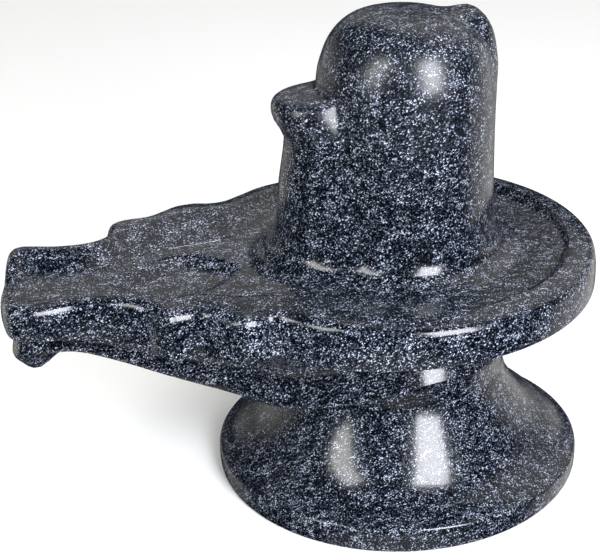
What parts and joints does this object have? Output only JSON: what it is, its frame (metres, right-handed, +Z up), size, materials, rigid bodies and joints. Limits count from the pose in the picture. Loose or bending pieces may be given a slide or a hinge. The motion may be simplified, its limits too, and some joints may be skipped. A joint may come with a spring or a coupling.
{
  "type": "lingam stone",
  "caption": "Domed shaft standing in a round basin with a pouring spout, on a flared round foot, carved from one stone; liquid poured over the shaft drains out along the spout.",
  "frame": {"origin": "centre of the round foot's flat underside", "axes": "+Z up along the foot's axis; the spout points along -X; +Y is to the left when looking from the spout's tip toward +X"},
  "size_m": [0.2451, 0.166, 0.199],
  "materials": {
    "granite": "polished, dark blue-grey with fine pale specks"
  },
  "bodies": {
    "root": {"lingam_stone": "granite"}
  },
  "joints": []
}
